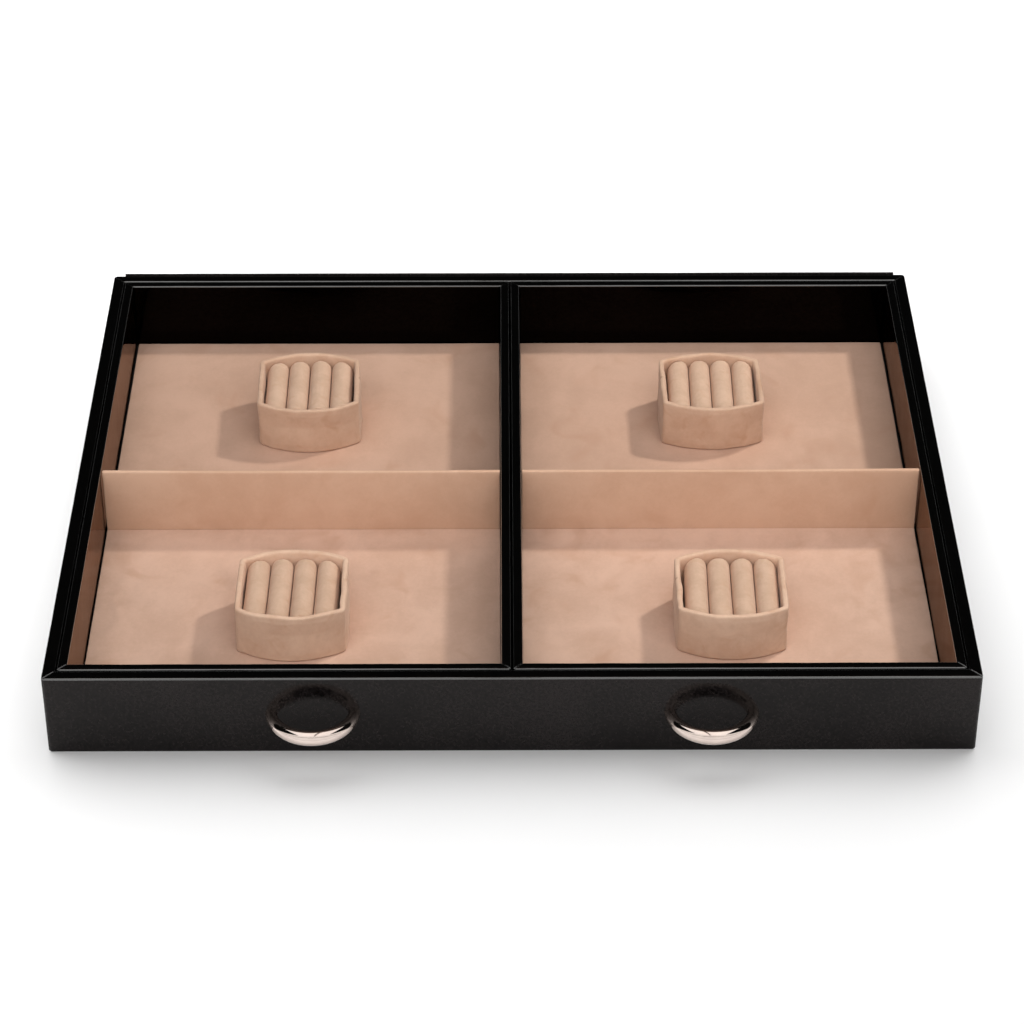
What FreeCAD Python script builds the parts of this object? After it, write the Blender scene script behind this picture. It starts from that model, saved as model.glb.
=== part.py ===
import FreeCAD, Part
import math
import os

import Sketcher

# A shallow leather-covered drawer for cufflinks. Two leather-covered trays stand side by side
# in it, each tray holds a suede insert with a divider, and each insert carries two holders
# with four rolls. Millimetres, +X to the right, +Y to the back, +Z up. The origin is at the
# middle of the drawer's underside.

doc = FreeCAD.newDocument("cufflink_drawer")

DRIVING_SIZES = (
    # the drawer's own frame
    ("drawer_width", 360.0, "outside width over the leather"),
    ("drawer_depth", 290.0, "outside depth over the leather, without the handles"),
    ("drawer_height", 36.5, "underside to rim"),
    ("drawer_leather", 0.9, "leather on the drawer's walls"),
    ("drawer_board", 3.2, "wall boards of the drawer"),
    ("drawer_rim", 1.3, "radius along the drawer's rim"),
    ("drawer_ease", 0.3, "radius of the drawer's upright corners over that of its rim"),
    ("foot_edge", 0.7, "radius along the bottom of the outer leather"),
    ("turn_under", 8.0, "leather turned under the boards, from the outside face"),
    ("base_board", 2.5, "plywood bottom of the drawer"),
    ("cover_gap", 0.3, "between the turned-under leather and the bottom cover"),
    ("felt", 0.4, "felt on the drawer's floor"),
    ("facing", 0.8, "leather facing glued over the back"),
    ("facing_inset", 5.0, "facing's ends to the drawer's corners"),
    ("facing_proud", 0.8, "facing above the rim"),
    ("facing_foot", 1.0, "facing's lower edge above the underside"),
    # the trays
    ("tray_gap", 0.5, "between a tray and the drawer's walls"),
    ("middle_gap", 0.8, "between the two trays"),
    ("tray_leather", 0.8, "leather on the trays' walls"),
    ("tray_board", 2.2, "wall boards of the trays"),
    ("tray_rim", 1.0, "radius along the trays' rims"),
    ("tray_ease", 0.4, "radius of the trays' upright corners over that of their rims"),
    ("tray_base", 1.3, "bottom board of a tray"),
    # the suede inserts
    ("insert_side_gap", 1.1, "between an insert and the tray's side walls"),
    ("insert_end_gap", 0.6, "between an insert and the tray's end walls"),
    ("card", 1.0, "suede-covered floor card"),
    ("divider", 1.8, "thickness of the divider"),
    ("divider_place", -8.9, "divider's front face from the drawer's middle"),
    ("divider_drop", 0.2, "divider's top edge below the rim"),
    ("divider_edge", 0.7, "radius along the divider's top edge"),
    # the cufflink holders
    ("holder_width", 44.0, "outside width of a holder"),
    ("holder_side", 34.2, "depth of a holder along its sides"),
    ("holder_bulge", 5.4, "how far the front and back bow out"),
    ("holder_height", 21.8, "holder's rim above the floor card"),
    ("holder_wall", 2.3, "padded strip that makes the holder's wall"),
    ("holder_corner", 2.4, "radius of the holder's upright corners"),
    ("holder_rim", 0.7, "bevel along the holder's rim"),
    ("holder_card", 1.0, "card in the bottom of a holder"),
    ("holder_fit", 0.15, "between the holder's card and its wall"),
    ("lap", 0.6, "how far the strip's lapped end stands out"),
    ("lap_start", 3.0, "end of the strip, behind the holder's middle"),
    ("lap_drop", 0.3, "lapped end below the bevel of the holder's rim"),
    ("roll_drop", 1.9, "rolls' tops below the holder's rim"),
    ("roll_gap", 0.35, "between two rolls"),
    ("roll_side_gap", 0.5, "between the outer rolls and the wall"),
    ("roll_end_gap", 0.4, "between a roll's end and the wall"),
    ("roll_bevel", 0.9, "bevel round a roll's ends"),
    ("holder_apart", 88.2, "holders' middles from the drawer's middle, left and right"),
    ("back_row", 71.6, "back holders' middles behind the drawer's middle"),
    ("front_row", 73.7, "front holders' middles before the drawer's middle"),
    # the handles
    ("handle_apart", 76.7, "handles' middles from the drawer's middle"),
    ("handle_level", 19.0, "handles' middle plane above the underside"),
    ("handle_ring", 16.1, "radius of the bow's middle line"),
    ("handle_sink", 1.0, "centre of the bow behind the front face"),
    ("handle_thick", 4.4, "bow from its inner to its outer side"),
    ("handle_foot", 0.3, "height of the bow at its feet over its thickness"),
    ("handle_swell", 1.5, "height that the bow gains from its feet to its middle"),
    ("screw_core", 2.0, "diameter of the handle screws"),
    ("screw_head", 3.8, "diameter of their countersunk heads"),
    ("screw_taper", 0.9, "depth of the heads' taper"),
    ("screw_grip", 3.0, "how deep a screw goes into the handle's foot"),
    ("screw_fit", 0.1, "added to the diameter and depth of the holes for the screws"),
)

# Each holder was glued in by hand and stands turned by a degree or so.
HOLDER_TURNS = {"left_back": 1.3, "right_back": 0.8, "left_front": -0.5, "right_front": 0.3}

# The bow's sections, evenly turned about its centre, from just behind one foot to the other.
HANDLE_SECTIONS = 9
HANDLE_OVERRUN = 12.0
ROLLS = 4
SIDES = ("front", "back", "left", "right")


class Size:
    """A value with the sheet expression that gives it."""

    def __init__(self, value, text):
        self.value = value
        self.text = text

    @staticmethod
    def of(thing):
        if isinstance(thing, Size):
            return thing
        return Size(float(thing), "(%.9g)" % thing)

    def __add__(self, other):
        other = Size.of(other)
        return Size(self.value + other.value, "(%s + %s)" % (self.text, other.text))

    def __sub__(self, other):
        other = Size.of(other)
        return Size(self.value - other.value, "(%s - %s)" % (self.text, other.text))

    def __mul__(self, other):
        other = Size.of(other)
        return Size(self.value * other.value, "(%s * %s)" % (self.text, other.text))

    def __truediv__(self, other):
        other = Size.of(other)
        return Size(self.value / other.value, "(%s / %s)" % (self.text, other.text))

    def __neg__(self):
        return Size(-self.value, "(-1 * %s)" % self.text)


def root(size):
    return Size(math.sqrt(size.value), "sqrt(%s)" % size.text)


def write_sheet():
    """Put every driving size in the sheet and hand them back by name."""
    sheet = doc.addObject("Spreadsheet::Sheet", "Sizes")
    sizes = {}
    for row, (name, value, note) in enumerate(DRIVING_SIZES, start=1):
        sheet.set("A%d" % row, name)
        sheet.set("B%d" % row, "%g" % value)
        sheet.set("C%d" % row, note)
        sheet.setAlias("B%d" % row, name)
        sizes[name] = Size(value, "Sizes.%s" % name)
    doc.recompute()
    return sizes


SIZES = write_sheet()


def size(name):
    return SIZES[name]


# ---------------------------------------------------------------- sketches and features

def bind(thing, path, value):
    thing.setExpression(path, Size.of(value).text)


def new_body(label):
    body = doc.addObject("PartDesign::Body", label)
    body.Label = label
    return body


def new_sketch(body, name, plane="XY_Plane", lift=None):
    """A sketch on one of the body's own origin planes, raised along the plane's normal."""
    sketch = body.newObject("Sketcher::SketchObject", name)
    origin_plane = [p for p in body.Origin.OriginFeatures if p.Role == plane][0]
    sketch.AttachmentSupport = [(origin_plane, "")]
    sketch.MapMode = "FlatFace"
    if lift is not None:
        bind(sketch, "AttachmentOffset.Base.z", lift)
    return sketch


def hold_point(sketch, edge, end, name, x, y):
    for kind, tag, value in (("DistanceX", "x", x), ("DistanceY", "y", y)):
        value = Size.of(value)
        index = sketch.addConstraint(Sketcher.Constraint(kind, -1, 1, edge, end, value.value))
        sketch.renameConstraint(index, name + tag)
        bind(sketch, "Constraints." + name + tag, value)


def point(x, y):
    return FreeCAD.Vector(Size.of(x).value, Size.of(y).value, 0)


def arc_middle(start, end, radius):
    """Middle of an arc from start to end that bulges to the right of the way it runs."""
    chord = end - start
    half = chord.Length / 2
    sagitta = radius - math.sqrt(max(radius * radius - half * half, 0.0))
    outward = FreeCAD.Vector(chord.y, -chord.x, 0).normalize()
    return (start + end) * 0.5 + outward * sagitta


def draw_outline(sketch, corners, arcs=None):
    """A closed outline through the corners, run so that its inside lies to the left.

    arcs gives a radius for each edge, by its number, that is an arc bulging outwards.
    """
    arcs = arcs or {}
    count = len(corners)
    first = len(sketch.Geometry)
    ends = []
    for i, (x, y) in enumerate(corners):
        start = point(x, y)
        end = point(*corners[(i + 1) % count])
        if i in arcs:
            radius = Size.of(arcs[i])
            sketch.addGeometry(Part.Arc(start, arc_middle(start, end, radius.value), end))
        else:
            sketch.addGeometry(Part.LineSegment(start, end))
        forward = sketch.getPoint(first + i, 1).distanceToPoint(start) < 1e-6
        ends.append((1, 2) if forward else (2, 1))
    for i in range(count):
        following = (i + 1) % count
        sketch.addConstraint(Sketcher.Constraint(
            "Coincident", first + i, ends[i][1], first + following, ends[following][0]))
    for i, (x, y) in enumerate(corners):
        hold_point(sketch, first + i, ends[i][0], "p%d" % (first + i), x, y)
    for i, radius in arcs.items():
        radius = Size.of(radius)
        index = sketch.addConstraint(Sketcher.Constraint("Radius", first + i, radius.value))
        sketch.renameConstraint(index, "r%d" % (first + i))
        bind(sketch, "Constraints.r%d" % (first + i), radius)


def draw_circle(sketch, x, y, radius):
    radius = Size.of(radius)
    edge = sketch.addGeometry(Part.Circle(point(x, y), FreeCAD.Vector(0, 0, 1), radius.value))
    hold_point(sketch, edge, 3, "c%d" % edge, x, y)
    index = sketch.addConstraint(Sketcher.Constraint("Radius", edge, radius.value))
    sketch.renameConstraint(index, "r%d" % edge)
    bind(sketch, "Constraints.r%d" % edge, radius)


def rectangle(half_x, half_y, middle_y=0.0):
    middle_y = Size.of(middle_y)
    return [(-half_x, middle_y - half_y), (half_x, middle_y - half_y),
            (half_x, middle_y + half_y), (-half_x, middle_y + half_y)]


def pad(body, sketch, name, length, both_ways=False, backwards=False):
    feature = body.newObject("PartDesign::Pad", name)
    feature.Profile = sketch
    bind(feature, "Length", length)
    feature.SideType = "Symmetric" if both_ways else "One side"
    feature.Reversed = backwards
    return feature


def pocket(body, sketch, name, length, backwards=False):
    """Cut along the sketch's normal, or against it when backwards, and see that it cut."""
    doc.recompute()
    before = body.Shape.Volume
    feature = body.newObject("PartDesign::Pocket", name)
    feature.Profile = sketch
    bind(feature, "Length", length)
    feature.Reversed = not backwards
    doc.recompute()
    if body.Shape.Volume > before - 1e-6:
        raise RuntimeError("%s cuts nothing from %s" % (name, body.Label))
    return feature


def edges_where(body, test):
    doc.recompute()
    shape = body.Tip.Shape
    return ["Edge%d" % (i + 1) for i, edge in enumerate(shape.Edges) if test(edge)]


def round_edges(body, name, radius, test):
    names = edges_where(body, test)
    base = body.Tip
    feature = body.newObject("PartDesign::Fillet", name)
    feature.Base = (base, names)
    bind(feature, "Radius", radius)
    return feature


def bevel_edges(body, name, width, test):
    names = edges_where(body, test)
    base = body.Tip
    feature = body.newObject("PartDesign::Chamfer", name)
    feature.Base = (base, names)
    bind(feature, "Size", width)
    return feature


def lies_flat_at(edge, level):
    return all(abs(v.Z - level) < 1e-5 for v in edge.Vertexes)


def is_upright(edge):
    low, high = edge.BoundBox.ZMin, edge.BoundBox.ZMax
    return high - low > 1.0 and edge.BoundBox.XLength < 1e-5 and edge.BoundBox.YLength < 1e-5


def place(thing, x=0.0, y=0.0, z=0.0, turn=None):
    for axis, value in (("x", x), ("y", y), ("z", z)):
        bind(thing, "Placement.Base." + axis, value)
    if turn is not None:
        thing.Placement = FreeCAD.Placement(
            FreeCAD.Vector(), FreeCAD.Rotation(FreeCAD.Vector(0, 0, 1), turn))


def sheet_of(label, half_x, half_y, low, thickness, middle_y=0.0):
    """A flat board, card or sheet of cloth."""
    body = new_body(label)
    outline = new_sketch(body, label + "_outline", lift=low)
    draw_outline(outline, rectangle(half_x, half_y, middle_y))
    pad(body, outline, label + "_pad", thickness)
    return body


def group(label, members):
    """Separate solids that share one name."""
    compound = doc.addObject("Part::Compound", label)
    compound.Label = label
    compound.Links = members
    return compound


# ---------------------------------------------------------------- mitred walls

class Ring:
    """The four walls of a frame: leather over a board, mitred at the corners."""

    def __init__(self, half_x, half_y, kind):
        self.half_x = half_x
        self.half_y = half_y
        self.leather = size(kind + "_leather")
        self.board = size(kind + "_board")
        self.rim = size(kind + "_rim")
        self.corner = self.rim + size(kind + "_ease")
        self.wall = self.leather * 2 + self.board

    def across(self, side, inset):
        """Half the length of a wall and its distance from the middle, at an inset."""
        if side in ("front", "back"):
            return self.half_x - inset, self.half_y - inset
        return self.half_y - inset, self.half_x - inset

    @staticmethod
    def turn(side, along, out):
        """Points of a wall lying before the middle, turned to its own side."""
        return {"front": (along, -out), "back": (-along, out),
                "left": (-out, -along), "right": (out, along)}[side]

    def strip(self, side, near, far, rounded=False):
        """Outline of a mitred strip between two insets, with its arcs."""
        far_along, far_out = self.across(side, far)
        inner = [self.turn(side, far_along, far_out), self.turn(side, -far_along, far_out)]
        if not rounded:
            along, out = self.across(side, near)
            return [self.turn(side, -along, out), self.turn(side, along, out)] + inner, {}
        half_arc, half_out = self.across(side, self.corner * (1 - math.sqrt(0.5)))
        straight, _ = self.across(side, self.corner)
        _, out = self.across(side, 0.0)
        outer = [self.turn(side, -half_arc, half_out), self.turn(side, -straight, out),
                 self.turn(side, straight, out), self.turn(side, half_arc, half_out)]
        return outer + inner, {0: self.corner, 2: self.corner}


def is_rim_edge(level):
    """Picks the rim's long edges and corner arcs, not the slanted ones on the mitres."""
    def test(edge):
        ends = [v.Point for v in edge.Vertexes]
        run = ends[1] - ends[0]
        return lies_flat_at(edge, level) and abs(abs(run.x) - abs(run.y)) > 1e-5
    return test


def wall_board(ring, side, label, low, high):
    body = new_body(label)
    outline = new_sketch(body, label + "_outline", lift=low)
    draw_outline(outline, *ring.strip(side, ring.leather, ring.leather + ring.board))
    pad(body, outline, label + "_pad", high - low)
    return body


def wall_leather(ring, side, label, low, top, slot_low, inner_low, lip=None):
    """Leather wrapped over a wall board: outer leg, rim and inner leg.

    slot_low is where the slot for the board starts and inner_low where the inner leg ends.
    lip is how far the leather is turned under the board.
    """
    body = new_body(label)
    outline = new_sketch(body, label + "_outline", lift=low)
    draw_outline(outline, *ring.strip(side, 0.0, ring.wall, rounded=True))
    pad(body, outline, label + "_pad", top - low)
    if lip is not None:
        under = new_sketch(body, label + "_under", lift=low)
        draw_outline(under, *ring.strip(side, 0.0, lip, rounded=True))
        pad(body, under, label + "_turned", ring.leather)
    round_edges(body, label + "_rim", ring.rim, is_rim_edge(top.value))
    slot = new_sketch(body, label + "_slot", lift=slot_low)
    draw_outline(slot, *ring.strip(side, ring.leather, ring.leather + ring.board))
    pocket(body, slot, label + "_slot_cut", top - ring.leather - slot_low)
    short = new_sketch(body, label + "_short", lift=slot_low)
    draw_outline(short, *ring.strip(side, ring.leather + ring.board, ring.wall))
    pocket(body, short, label + "_short_cut", inner_low - slot_low)
    return body


# ---------------------------------------------------------------- the drawer

def screw_places():
    """The four handle screws, as places across the front."""
    foot = root(size("handle_ring") * size("handle_ring")
                - size("handle_sink") * size("handle_sink"))
    apart = size("handle_apart")
    return [-apart - foot, foot - apart, apart - foot, apart + foot], foot


def build_drawer(ring):
    top = size("drawer_height")
    leather = size("drawer_leather")
    base_top = leather + size("base_board")
    inside = ring.leather + ring.board
    pieces = [
        sheet_of("base_board", ring.half_x - inside, ring.half_y - inside, leather,
                 size("base_board")),
        sheet_of("floor_felt", ring.half_x - ring.wall, ring.half_y - ring.wall, base_top,
                 size("felt")),
        sheet_of("bottom_cover", ring.half_x - size("turn_under") - size("cover_gap"),
                 ring.half_y - size("turn_under") - size("cover_gap"), Size.of(0.0), leather),
        build_facing(ring, top),
    ]
    for side in SIDES:
        board = wall_board(ring, side, side + "_board", leather, top - leather)
        skin = wall_leather(ring, side, side + "_leather", Size.of(0.0), top, leather,
                            base_top, lip=size("turn_under"))
        round_edges(skin, side + "_leather_foot", size("foot_edge"), outer_foot(ring, side))
        if side == "front":
            drill_front(ring, board, skin)
        pieces += [board, skin]
    return pieces


def outer_foot(ring, side):
    """Picks the lower edge of the outer leg of a wall's leather."""
    _, out = ring.across(side, 0.0)

    def test(edge):
        box = edge.BoundBox
        reach = {"front": -box.YMin, "back": box.YMax, "left": -box.XMin, "right": box.XMax}
        near = {"front": -box.YMax, "back": box.YMin, "left": -box.XMax, "right": box.XMin}
        on_face = abs(reach[side] - out.value) < 1e-5
        within = near[side] > out.value - ring.corner.value
        return lies_flat_at(edge, 0.0) and on_face and within
    return test


def build_facing(ring, top):
    """A strip of leather over the drawer's back, standing a little above the rim."""
    body = new_body("back_facing")
    outline = new_sketch(body, "back_facing_outline", "XZ_Plane", lift=-ring.half_y)
    half = ring.half_x - size("facing_inset")
    low = size("facing_foot")
    high = top + size("facing_proud")
    draw_outline(outline, [(-half, low), (half, low), (half, high), (-half, high)])
    pad(body, outline, "back_facing_pad", size("facing"), backwards=True)
    return body


def drill_front(ring, board, skin):
    """Countersunk holes through the front board and plain ones through its leather."""
    places, _ = screw_places()
    level = size("handle_level")
    hole_radius = (size("screw_core") + size("screw_fit")) / 2

    marks = new_sketch(board, "screw_marks", "XZ_Plane",
                       lift=ring.half_y - ring.leather - ring.board)
    for x in places:
        draw_circle(marks, x, level, hole_radius)
    doc.recompute()
    before = board.Shape.Volume
    hole = board.newObject("PartDesign::Hole", "screw_holes")
    hole.Profile = marks
    doc.recompute()
    hole.ThreadType = "None"
    hole.DepthType = "ThroughAll"
    bind(hole, "Diameter", hole_radius * 2)
    hole.HoleCutType = "Countersink"
    bind(hole, "HoleCutDiameter", size("screw_head") + size("screw_fit"))
    hole.HoleCutCountersinkAngle = 90.0
    hole.Reversed = True
    doc.recompute()
    if board.Shape.Volume > before - 1e-6:
        raise RuntimeError("the screw holes cut nothing")

    through = new_sketch(skin, "screw_points", "XZ_Plane", lift=ring.half_y)
    for x in places:
        draw_circle(through, x, level, hole_radius)
    pocket(skin, through, "screw_points_cut", ring.leather, backwards=True)


# ---------------------------------------------------------------- the handles

def build_handle(ring, label, x):
    """A bow like half a ring, round at its feet and flat inside and taller at its middle."""
    body = new_body(label)
    radius = size("handle_ring")
    sink = size("handle_sink")
    half_thick = size("handle_thick") / 2
    sections = []
    for i in range(HANDLE_SECTIONS):
        share = i / (HANDLE_SECTIONS - 1)
        angle = math.radians((180.0 + 2 * HANDLE_OVERRUN) * share - HANDLE_OVERRUN)
        # the bow's height grows smoothly from its feet to its middle
        growth = max(math.sin(angle), 0.0) ** 1.5
        round_radius = half_thick + (size("handle_foot") + size("handle_swell") * growth) / 2
        flat = root(half_thick * 4 * (round_radius - half_thick))
        sketch = body.newObject("Sketcher::SketchObject", "%s_section_%d" % (label, i))
        across = [p for p in body.Origin.OriginFeatures if p.Role == "XZ_Plane"][0]
        sketch.AttachmentSupport = [(across, "")]
        sketch.MapMode = "FlatFace"
        # the section's own x runs outwards from the bow's centre
        sketch.AttachmentOffset = FreeCAD.Placement(
            FreeCAD.Vector(), FreeCAD.Rotation(FreeCAD.Vector(0, -1, 0), math.degrees(angle)))
        inner = radius - half_thick
        draw_outline(sketch, [(inner, flat), (inner, -flat), (radius + half_thick, 0.0)],
                     {1: round_radius, 2: round_radius})
        bind(sketch, "AttachmentOffset.Base.z", -sink)
        sections.append(sketch)
    doc.recompute()
    bow = body.newObject("PartDesign::AdditiveLoft", label + "_bow")
    bow.Profile = sections[0]
    bow.Sections = sections[1:]
    doc.recompute()
    trim = new_sketch(body, label + "_face", "XZ_Plane")
    reach = radius + size("handle_thick")
    draw_outline(trim, [(-reach, -reach), (reach, -reach), (reach, reach), (-reach, reach)])
    pocket(body, trim, label + "_flush", radius, backwards=True)
    _, foot = screw_places()
    bores = new_sketch(body, label + "_bores", "XZ_Plane")
    for place_x in (-foot, foot):
        draw_circle(bores, place_x, 0.0, (size("screw_core") + size("screw_fit")) / 2)
    pocket(body, bores, label + "_bores_cut", size("screw_grip") + size("screw_fit"))
    place(body, x, -ring.half_y, size("handle_level"))
    return body


def build_screws(ring):
    """Countersunk screws from inside the front board into the handles' feet."""
    places, _ = screw_places()
    shank = size("screw_core") / 2
    head = size("screw_head") / 2
    length = ring.board + ring.leather + size("screw_grip")
    tip = shank / 2
    members = []
    for i, x in enumerate(places):
        body = new_body("handle_screw_%d" % (i + 1))
        profile = new_sketch(body, "screw_profile_%d" % (i + 1))
        draw_outline(profile, [
            (0.0, -length), (shank - tip, -length), (shank, tip - length),
            (shank, -size("screw_taper")), (head, 0.0), (0.0, 0.0)])
        turned = body.newObject("PartDesign::Revolution", "screw_turned_%d" % (i + 1))
        turned.Profile = profile
        turned.ReferenceAxis = (profile, ["V_Axis"])
        turned.Angle = 360.0
        place(body, x, ring.leather + ring.board - ring.half_y, size("handle_level"))
        members.append(body)
    return group("handle_screws", members)


# ---------------------------------------------------------------- trays and inserts

def build_tray(ring, prefix, x, floor):
    """A leather-covered frame on its own bottom board."""
    top = size("drawer_height")
    base_top = floor + size("tray_base")
    pieces = [sheet_of(prefix + "_tray_base", ring.half_x - ring.leather,
                       ring.half_y - ring.leather, floor, size("tray_base"))]
    for side in SIDES:
        pieces.append(wall_board(ring, side, "%s_tray_%s_board" % (prefix, side), base_top,
                                 top - ring.leather))
        pieces.append(wall_leather(ring, side, "%s_tray_%s_leather" % (prefix, side), floor,
                                   top, floor, base_top))
    for piece in pieces:
        place(piece, x)
    return pieces


def build_insert(ring, prefix, x, low):
    """Two floor cards with a divider standing between them."""
    half_x = ring.half_x - ring.wall - size("insert_side_gap")
    half_y = ring.half_y - ring.wall - size("insert_end_gap")
    front_edge = size("divider_place")
    back_edge = front_edge + size("divider")
    front_depth = (front_edge + half_y) / 2
    back_depth = (half_y - back_edge) / 2
    front = sheet_of(prefix + "_front_card", half_x, front_depth, low, size("card"),
                     middle_y=front_edge - front_depth)
    back = sheet_of(prefix + "_back_card", half_x, back_depth, low, size("card"),
                    middle_y=back_edge + back_depth)
    height = size("drawer_height") - size("divider_drop") - low
    wall = sheet_of(prefix + "_divider", half_x, size("divider") / 2, low, height,
                    middle_y=front_edge + size("divider") / 2)
    top = (low + height).value
    round_edges(wall, prefix + "_divider_edge", size("divider_edge"),
                lambda edge: lies_flat_at(edge, top) and edge.BoundBox.XLength > 10)
    pieces = [front, back, wall]
    for piece in pieces:
        place(piece, x)
    return pieces


# ---------------------------------------------------------------- cufflink holders

class Barrel:
    """A holder's plan: straight sides, with the front and back bowed out."""

    def __init__(self):
        self.half_x = size("holder_width") / 2
        self.half_y = size("holder_side") / 2
        bulge = size("holder_bulge")
        self.bow = self.half_x * self.half_x / (bulge * 2) + bulge / 2
        self.bow_centre = self.half_y + bulge - self.bow

    def reach(self, inset, x):
        """How far back the bowed wall's face lies at x, at an inset from the outside."""
        radius = self.bow - inset
        return self.bow_centre + root(radius * radius - x * x)

    def outline(self, inset):
        half_x = self.half_x - inset
        half_y = self.reach(inset, half_x)
        corners = [(-half_x, -half_y), (half_x, -half_y), (half_x, half_y), (-half_x, half_y)]
        return corners, {0: self.bow - inset, 2: self.bow - inset}


def build_frame(barrel, label, lap_side):
    """The holder's wall: one padded strip bent round, its end lapped over its start."""
    body = new_body(label)
    outer = new_sketch(body, label + "_outer")
    draw_outline(outer, *barrel.outline(Size.of(0.0)))
    height = size("holder_height")
    pad(body, outer, label + "_pad", height)
    lapped = new_sketch(body, label + "_lap")
    wall = size("holder_wall") / 2
    near = barrel.half_x - wall
    far = barrel.half_x + size("lap")
    back = size("lap_start")
    front = size("holder_corner") - barrel.half_y
    if lap_side < 0:
        near, far = -far, -near
    draw_outline(lapped, [(near, front), (far, front), (far, back), (near, back)])
    pad(body, lapped, label + "_lapped", height - size("holder_rim") - size("lap_drop"))
    round_edges(body, label + "_corners", size("holder_corner"), is_barrel_corner(barrel))
    hollow = new_sketch(body, label + "_hollow")
    draw_outline(hollow, *barrel.outline(size("holder_wall")))
    pocket(body, hollow, label + "_hollow_cut", height)
    rim = height.value
    bevel_edges(body, label + "_rim", size("holder_rim"),
                lambda edge: lies_flat_at(edge, rim))
    return body


def is_barrel_corner(barrel):
    def test(edge):
        if not is_upright(edge):
            return False
        at = edge.Vertexes[0].Point
        off_x = abs(abs(at.x) - barrel.half_x.value)
        off_y = abs(abs(at.y) - barrel.half_y.value)
        return off_x < 1e-4 and off_y < 1e-4
    return test


def build_card(barrel, label):
    body = new_body(label)
    outline = new_sketch(body, label + "_outline")
    draw_outline(outline, *barrel.outline(size("holder_wall") + size("holder_fit")))
    pad(body, outline, label + "_pad", size("holder_card"))
    return body


def build_rolls(barrel, label):
    """Upright pads with rounded tops, side by side, their ends cut to the bow of the wall."""
    inside = barrel.half_x * 2 - size("holder_wall") * 2
    pitch = (inside - size("roll_side_gap") * 2 + size("roll_gap")) / ROLLS
    radius = (pitch - size("roll_gap")) / 2
    low = size("holder_card")
    top = size("holder_height") - size("roll_drop")
    shoulder = top - radius
    end_inset = size("holder_wall") + size("roll_end_gap")
    clear = barrel.half_x * 2
    members = []
    for i in range(ROLLS):
        body = new_body("%s_%d" % (label, i + 1))
        middle = pitch * (i - (ROLLS - 1) / 2)
        arch = new_sketch(body, "%s_%d_arch" % (label, i + 1), "XZ_Plane")
        draw_outline(arch, [(middle - radius, low), (middle + radius, low),
                            (middle + radius, shoulder), (middle, top),
                            (middle - radius, shoulder)], {2: radius, 3: radius})
        pad(body, arch, "%s_%d_pad" % (label, i + 1), barrel.half_y * 3, both_ways=True)
        ends = new_sketch(body, "%s_%d_ends" % (label, i + 1))
        draw_outline(ends, rectangle(clear, clear))
        draw_outline(ends, *barrel.outline(end_inset))
        pocket(body, ends, "%s_%d_ends_cut" % (label, i + 1), top * 2)
        bevel_edges(body, "%s_%d_bevel" % (label, i + 1), size("roll_bevel"),
                    is_roll_end(barrel, end_inset, low))
        members.append(body)
    return group(label, members)


def is_roll_end(barrel, inset, low):
    """Picks the edges round a roll's bowed ends, but not those it stands on."""
    def test(edge):
        if lies_flat_at(edge, low.value):
            return False
        for vertex in edge.Vertexes:
            at = vertex.Point
            if abs(abs(at.y) - barrel.reach(inset, Size.of(at.x)).value) > 1e-4:
                return False
        return True
    return test


def build_holder(barrel, name, x, y, z, lap_side):
    prefix = name + "_holder"
    pieces = [
        build_frame(barrel, prefix + "_frame", lap_side),
        build_card(barrel, prefix + "_card"),
        build_rolls(barrel, prefix + "_rolls"),
    ]
    for piece in pieces:
        place(piece, x, y, z, turn=HOLDER_TURNS[name])
    return pieces


# ---------------------------------------------------------------- the whole

def build():
    drawer = Ring(size("drawer_width") / 2, size("drawer_depth") / 2, "drawer")
    felt_top = size("drawer_leather") + size("base_board") + size("felt")
    pieces = build_drawer(drawer)
    pieces.append(build_handle(drawer, "left_handle", -size("handle_apart")))
    pieces.append(build_handle(drawer, "right_handle", size("handle_apart")))
    pieces.append(build_screws(drawer))

    inner_half = drawer.half_x - drawer.wall - size("tray_gap")
    tray_half = (inner_half - size("middle_gap") / 2) / 2
    tray = Ring(tray_half, drawer.half_y - drawer.wall - size("tray_gap"), "tray")
    tray_middle = size("middle_gap") / 2 + tray_half
    insert_floor = felt_top + size("tray_base")
    card_top = insert_floor + size("card")
    barrel = Barrel()
    for prefix, way in (("left", -1), ("right", 1)):
        pieces += build_tray(tray, prefix, tray_middle * way, felt_top)
        pieces += build_insert(tray, prefix, tray_middle * way, insert_floor)
        for row, y in (("front", -size("front_row")), ("back", size("back_row"))):
            pieces += build_holder(barrel, "%s_%s" % (prefix, row),
                                   size("holder_apart") * way, y, card_top, -way)
    doc.recompute()
    return pieces


def check_document():
    for thing in doc.Objects:
        faults = [s for s in thing.State if s in ("Invalid", "Error")]
        if faults:
            raise RuntimeError("%s is %s" % (thing.Name, ", ".join(faults)))


def write_parts(pieces):
    for piece in pieces:
        if piece.Shape.isNull() or not piece.Shape.isValid():
            raise RuntimeError("%s has no valid shape" % piece.Label)
    os.makedirs("parts", exist_ok=True)
    for piece in pieces:
        piece.Shape.exportStep(os.path.join("parts", piece.Label + ".step"))
    print("%d pieces written" % len(pieces))


PIECES = build()
check_document()
write_parts(PIECES)
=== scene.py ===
"""The looks of the cufflink drawer: leather walls, suede inserts, padded holders, nickel bows.

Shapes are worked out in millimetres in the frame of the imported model, and turned to metres
when a mesh is made.
"""

import math

import bpy
import bmesh
import numpy as np
from mathutils import Matrix, Vector, noise


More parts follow.
